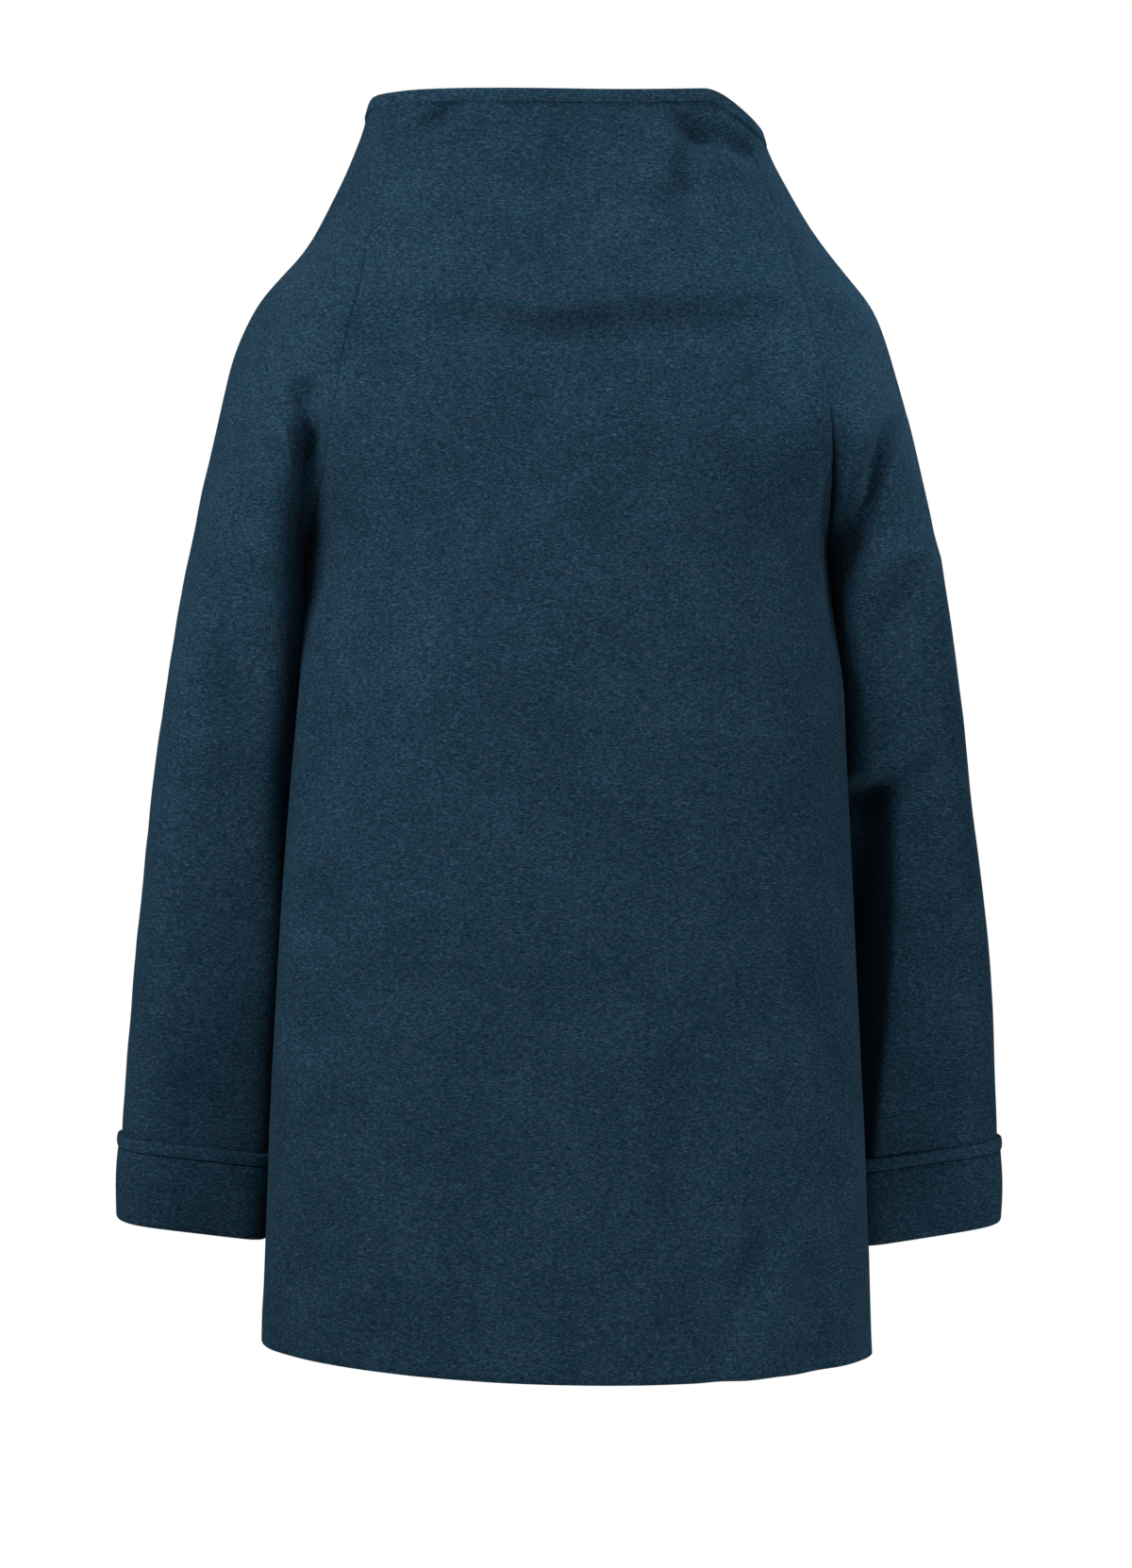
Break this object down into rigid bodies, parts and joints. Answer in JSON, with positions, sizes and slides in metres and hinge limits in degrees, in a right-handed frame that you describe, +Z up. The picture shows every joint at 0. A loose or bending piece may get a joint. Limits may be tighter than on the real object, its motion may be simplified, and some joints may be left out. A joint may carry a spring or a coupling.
{
  "type": "wrap coat",
  "caption": "Hip-length wrap coat in felted wool with a grown-on funnel collar, raglan sleeves and turned-back cuffs, worn and hollow, open at neck, hem and cuffs.",
  "frame": {"origin": "between the wearer's shoulders, at the height where the collar leaves the shoulder line", "axes": "+Z up along the worn coat, +Y the way the wearer faces, +X the wearer's right"},
  "size_m": [0.5906, 0.311, 0.8174],
  "materials": {
    "wool": "felted dark teal wool with a short matt nap",
    "edge_strip": "folded and stitched edge strip of the same wool"
  },
  "bodies": {
    "root": {"back": "wool", "front_left": "wool", "front_right": "wool", "sleeve_left": "wool", "sleeve_right": "wool", "cuff_left": "wool", "cuff_right": "wool", "cuff_edge_left": "edge_strip", "cuff_edge_right": "edge_strip", "collar_edge": "edge_strip"}
  },
  "joints": []
}
